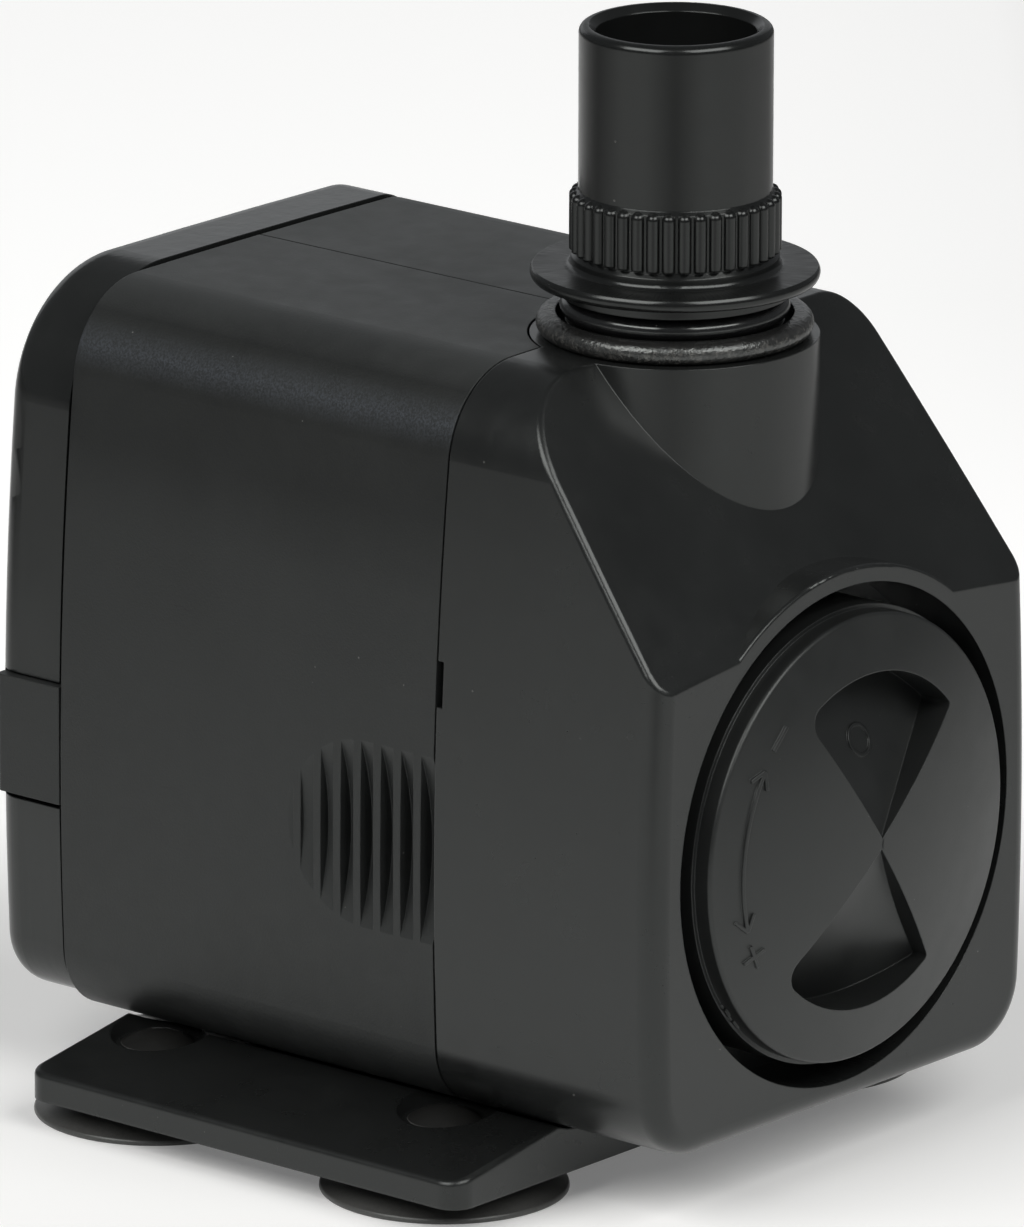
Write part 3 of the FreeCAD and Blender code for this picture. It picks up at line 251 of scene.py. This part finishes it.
def turned(nodes):
    """Strength of the fine radial scratches on faces that look up."""
    angle, radius = nodes.around(0.0, OUTLET_Y)
    across = nodes.math("MULTIPLY", angle, RAYS_PER_RADIAN)
    polar = nodes.joined(across, nodes.math("MULTIPLY", radius, RINGS_PER_METRE), 0.0)
    rays = nodes.noise(1.0, 2.0, vector=polar)
    return nodes.math("MULTIPLY", nodes.upward(), nodes.remap(rays, 0.35, 0.65, 0.5, 1.3))


def moulded(name, colour, gloss, grain_pitch, grain_depth, peel_depth=0.003, edge_light=2.2,
            edge_radius=0.15, specks=0.5, streak=None, painted_highlight_band=None, turned_top=None, painted_glints=None,
            head=None, gloss_levels=None, **settings):
    """Moulded surface: grain, orange peel, flow mottling, worn edges, dust specks and scuffs, and where
    asked a painted highlight band and painted glint specks.

    Sizes are in millimetres. The grain is the finest texture and the peel is the soft waviness under it.
    gloss is the lowest and highest roughness.
    streak is (pitch, stretch, depth) of the long flow marks.
    The highlight band is (middle height, half width, tint): a level band of painted highlight, pale on the
    tops of the grain.
    turned_top is the extra roughness of faces that look up, marked with fine radial scratches.
    The glint specks are (height, radius): below and outside these the surface is speckled with painted
    highlights.
    head is (height, factor): above the height the colour is scaled by the factor.
    gloss_levels is (low height, high height, specular level above them, specular level looking up).
    """
    nodes = Shader(name, **settings)
    rim = nodes.rounded(edge_radius * MM)
    mottle = nodes.noise(MOTTLE_PITCH, 4.0, roughness=0.6)
    cloud = nodes.noise(CLOUD_PITCH, 3.0)
    grain = nodes.noise(grain_pitch * MM, 2.0, roughness=0.6)
    worn = nodes.math("MULTIPLY", nodes.edges(rim), nodes.remap(cloud, 0.35, 0.62, 0.25, 1.0))

    base = nodes.mix(nodes.remap(mottle, 0.3, 0.7), scaled(colour, 0.82), scaled(colour, 1.18))
    base = nodes.mix(nodes.remap(grain, 0.35, 0.65, 0.0, 0.35), base, scaled(colour, 1.5))
    # painted highlight: a pale level band on the grain tops, standing in for light on a rounded corner
    if painted_highlight_band:
        base = with_painted_highlight(nodes, base, grain, painted_highlight_band)
    if head:
        head_z, head_factor = head
        above = nodes.math("GREATER_THAN", nodes.height(), head_z * MM)
        base = nodes.mix(above, base, scaled(colour, head_factor))
    base = nodes.mix(nodes.math("MULTIPLY", worn, WORN_TINT_SHARE), base, scaled(colour, edge_light))
    base = dusted(nodes, base, specks)
    # painted glints: pale specks low on a rough rim, standing in for its highlights
    if painted_glints:
        base = with_painted_glints(nodes, base, painted_glints)

    blotches = nodes.math("ADD", nodes.math("MULTIPLY", mottle, 0.6), nodes.math("MULTIPLY", cloud, 0.4))
    rough = nodes.remap(blotches, 0.32, 0.68, *gloss)
    rough = nodes.math("ADD", rough, nodes.math("MULTIPLY", scuffed(nodes), SCUFF_ROUGHNESS))
    rough = nodes.math("SUBTRACT", rough, nodes.math("MULTIPLY", worn, WORN_POLISH), clamp=True)
    if turned_top:
        rough = nodes.math("ADD", rough, nodes.math("MULTIPLY", turned(nodes), turned_top))
    nodes.put(nodes.shader, "Specular Tint", COOL_GLOSS)
    if gloss_levels:
        nodes.put(nodes.shader, "Specular IOR Level", specular_level(nodes, gloss_levels))

    normal = nodes.bump(nodes.noise(PEEL_PITCH, 1.0), peel_depth * MM, rim)
    if streak:
        streak_pitch, streak_stretch, streak_depth = streak
        streaks = nodes.noise(streak_pitch * MM, 2.0, stretch=streak_stretch)
        normal = nodes.bump(streaks, streak_depth * MM, normal)
    normal = nodes.bump(grain, grain_depth * MM, normal)
    return nodes.finish(base, rough, normal)


CHARCOAL = (0.0100, 0.0106, 0.0105)

MATERIALS = {
    # the pump's outside
    "housing_plastic": moulded("housing_grain", scaled(CHARCOAL, 1.08), (0.42, 0.54), 0.2, 0.02,
                               # the band at 64.7 mm is a painted highlight along the housing's rounded top
                               # corner
                               peel_depth=0.006, painted_highlight_band=(64.7, 2.0, (0.036, 0.040, 0.047)),
                               gloss_levels=(50, 57, 0.30, 1.25)),
    "cover_plastic": moulded("cover_satin", CHARCOAL, (0.19, 0.29), 0.12, 0.0016),
    "rear_plastic": moulded("rear_gloss", scaled(CHARCOAL, 1.1), (0.12, 0.22), 0.12, 0.001,
                            peel_depth=0.006, streak=(1.0, (1.0, 1.0, 0.035), 0.022)),
    "dial_plastic": moulded("dial_satin", scaled(CHARCOAL, 1.05), (0.30, 0.40), 0.12, 0.0022,
                            peel_depth=0.002),
    "adapter_plastic": moulded("adapter_gloss", scaled(CHARCOAL, 0.55), (0.16, 0.24), 0.12, 0.001,
                               peel_depth=0.002, turned_top=0.16),
    "base_plastic": moulded("base_satin", scaled(CHARCOAL, 0.7), (0.24, 0.36), 0.25, 0.004,
                            peel_depth=0.004, edge_light=3.0, edge_radius=0.3),
    "cup_rubber": moulded("cup_rubber", (0.055, 0.055, 0.053), (0.30, 0.42), 0.3, 0.004,
                          edge_light=3.0, head=(2.5, 0.2), gloss_levels=(2.2, 2.8, 0.2, 0.2)),
    "seal_rubber": moulded("seal_rubber", (0.010, 0.010, 0.0105), (0.14, 0.22), 0.3, 0.001,
                           specks=0.2, specular=0.9),
    "gasket_rubber": moulded("gasket_rubber", (0.013, 0.013, 0.0128), (0.20, 0.34), 0.4, 0.08,
                             # the pale specks low on the outer rim are painted glints of the rough rim
                             edge_light=2.0, edge_radius=0.3, specks=0.8, painted_glints=(71.0, 10.2),
                             specular=0.9),
    # inside
    "inner_plastic": moulded("inner_satin", (0.05, 0.05, 0.052), (0.35, 0.5), 0.2, 0.003),
    "gland_rubber": moulded("gland_rubber", (0.015, 0.015, 0.015), (0.5, 0.62), 0.25, 0.004),
    "impeller_plastic": moulded("impeller_white", (0.72, 0.74, 0.75), (0.25, 0.35), 0.2, 0.001,
                                edge_light=1.1),
    "washer_plastic": moulded("washer_white", (0.82, 0.82, 0.80), (0.3, 0.4), 0.2, 0.001,
                              edge_light=1.1),
    "ferrite": moulded("ferrite", (0.055, 0.055, 0.058), (0.4, 0.55), 0.12, 0.006, specular=0.8),
    "ceramic": moulded("ceramic", (0.84, 0.82, 0.76), (0.08, 0.16), 0.3, 0.0005, edge_light=1.05),
    "laminated_steel": moulded("laminated_steel", (0.40, 0.40, 0.41), (0.3, 0.45), 0.2, 0.003,
                               metallic=0.9),
    "bobbin_plastic": moulded("bobbin_nylon", (0.72, 0.69, 0.58), (0.35, 0.45), 0.2, 0.002,
                              edge_light=1.1),
    "copper_winding": moulded("enamelled_copper", (0.55, 0.22, 0.08), (0.2, 0.3), 0.2, 0.002,
                              metallic=0.9),
    "fuse_can": moulded("fuse_can", (0.6, 0.6, 0.6), (0.25, 0.35), 0.2, 0.001, metallic=1.0),
    "resin": moulded("cast_resin", (0.03, 0.026, 0.022), (0.12, 0.25), 0.6, 0.004, specks=1.0),
}

for row in frame["record"]["subparts"]:
    shown = frame["nodes"][row["node"]]
    shown.data.materials.clear()
    shown.data.materials.append(MATERIALS[row["material_slot"]])


# ---------------------------------------------------------------- studio
def direction(azimuth, elevation):
    """Unit vector from the object towards a place round it; azimuth 0 is in front of the dial."""
    turn = math.radians(azimuth)
    rise = math.radians(elevation)
    return Vector((math.sin(turn) * math.cos(rise), -math.cos(turn) * math.cos(rise), math.sin(rise)))


FLOOR_HALF = 6.0
FLOOR_TOP = -0.05 * MM                                              # just under the cups
FLOOR_FADE = (0.42, 0.8)                                            # radii between which painted shade darkens it
FLOOR_SHADES = ((-49, 34, 0.6), (-154, 40, 0.72), (87, 42, 0.52))   # azimuth, half width, depth
SHADES_START = (0.14, 0.26)                                         # radii between which they set in
BACKDROP_AZIMUTH = 131                                              # behind the pump in the photo's view
RUNNER_GLOW = 0.36
RUNNER_EDGE = (0.055, 0.1)                                          # distances from its middle line
RUNNER_START = (0.0, 0.08)                                          # distances behind the pump's middle
POOL_GLOW = 0.16
POOL_EDGE = (0.07, 0.16)                                            # radii
LAMP_AIM = Vector((0, 0, 0.04))
WARM_WHITE = (1.0, 0.99, 0.97)
COOL_WHITE = (0.96, 0.98, 1.0)


def floor_tone(nodes):
    """Brightness of the floor, with painted shade far away and in soft shaded sectors."""
    angle, radius = nodes.around(0.0, 0.0)
    shade = nodes.remap(radius, *FLOOR_FADE, 1.0, 0.3)
    far = nodes.remap(radius, *SHADES_START)
    for azimuth, half_width, depth in FLOOR_SHADES:
        turn = nodes.math("SUBTRACT", angle, math.radians(azimuth - 90))
        off_middle = nodes.math("ABSOLUTE", nodes.math("WRAP", turn, math.pi, -math.pi))
        sector = nodes.remap(off_middle, 0.0, math.radians(half_width), depth, 0.0)
        kept = nodes.math("SUBTRACT", 1.0, nodes.math("MULTIPLY", sector, far))
        shade = nodes.math("MULTIPLY", shade, kept)
    return nodes.math("MULTIPLY", nodes.remap(nodes.noise(0.4, 2.0), 0.3, 0.7, 0.86, 0.88), shade)


def floor_glow(nodes):
    """Faint glow of the floor: a runner behind the pump and a small pool round it."""
    radius = nodes.around(0.0, 0.0)[1]
    place_x, place_y, _ = nodes.axes(nodes.place)
    away = direction(BACKDROP_AZIMUTH, 0)
    along = nodes.math("ADD", nodes.math("MULTIPLY", place_x, away.x),
                       nodes.math("MULTIPLY", place_y, away.y))
    across = nodes.math("SUBTRACT", nodes.math("MULTIPLY", place_x, away.y),
                        nodes.math("MULTIPLY", place_y, away.x))
    middle = nodes.remap(nodes.math("ABSOLUTE", across), *RUNNER_EDGE, 1.0, 0.0)
    runner = nodes.math("MULTIPLY", middle, nodes.remap(along, *RUNNER_START))
    pool = nodes.remap(radius, *POOL_EDGE, 1.0, 0.0)
    return nodes.math("MAXIMUM", nodes.math("MULTIPLY", runner, RUNNER_GLOW),
                      nodes.math("MULTIPLY", pool, POOL_GLOW))


def make_floor():
    """Pale matt floor, wide enough to fill the view behind the pump."""
    mesh = bpy.data.meshes.new("studio_floor")
    corners = [(FLOOR_HALF * x, FLOOR_HALF * y, FLOOR_TOP) for x, y in ((-1, -1), (1, -1), (1, 1), (-1, 1))]
    mesh.from_pydata(corners, [], [(0, 1, 2, 3)])
    floor = bpy.data.objects.new("studio_floor", mesh)
    bpy.context.scene.collection.objects.link(floor)
    nodes = Shader("studio_floor", specular=0.2)
    tone = floor_tone(nodes)
    nodes.put(nodes.shader, "Emission Color", (1.0, 1.0, 1.0))
    nodes.put(nodes.shader, "Emission Strength", floor_glow(nodes))
    mesh.materials.append(nodes.finish(nodes.joined(tone, tone, nodes.math("MULTIPLY", tone, 0.996)), 0.7))


def make_world():
    """Dim, slightly blue surroundings."""
    world = bpy.data.worlds.new("studio")
    world.use_nodes = True
    background = world.node_tree.nodes["Background"]
    background.inputs["Color"].default_value = (0.94, 0.97, 1.0, 1.0)
    background.inputs["Strength"].default_value = 0.13
    bpy.context.scene.world = world


def make_camera():
    """Long lens at the photograph's viewing angle."""
    place = (-0.9760, -0.8276, 0.4145)
    azimuth = -49.6875
    elevation = 16.2346
    roll = math.radians(0.1255)
    back = direction(azimuth, elevation)
    right = Vector((math.cos(math.radians(azimuth)), math.sin(math.radians(azimuth)), 0))
    up = back.cross(right)
    rolled_right = right * math.cos(roll) + up * math.sin(roll)
    rolled_up = up * math.cos(roll) - right * math.sin(roll)
    data = bpy.data.cameras.new("camera")
    data.lens = 469.47
    data.sensor_width = 36.0
    data.clip_start = 0.05
    data.clip_end = 50.0
    camera = bpy.data.objects.new("camera", data)
    axes = Matrix((rolled_right, rolled_up, back)).transposed()
    camera.matrix_world = Matrix.Translation(place) @ axes.to_4x4()
    bpy.context.scene.collection.objects.link(camera)
    bpy.context.scene.camera = camera


def softbox(name, azimuth, elevation, distance, width, height, power, colour):
    """Rectangular lamp that looks at the pump."""
    data = bpy.data.lights.new(name, "AREA")
    data.shape = "RECTANGLE"
    data.size = width
    data.size_y = height
    data.energy = power
    data.color = colour
    lamp = bpy.data.objects.new(name, data)
    towards = direction(azimuth, elevation)
    lamp.location = LAMP_AIM + towards * distance
    lamp.rotation_mode = "QUATERNION"
    lamp.rotation_quaternion = towards.to_track_quat("Z", "Y")
    bpy.context.scene.collection.objects.link(lamp)


make_floor()
make_world()
make_camera()
for side, side_azimuth in (("left", -94), ("right", -6)):
    softbox(f"softbox_{side}", side_azimuth, elevation=42, distance=1.5, width=1.2, height=0.8,
            power=15.0, colour=WARM_WHITE)
softbox("panel_back", 138, elevation=14, distance=1.6, width=1.5, height=0.7, power=1.2, colour=COOL_WHITE)
bpy.context.scene.view_settings.view_transform = "Standard"
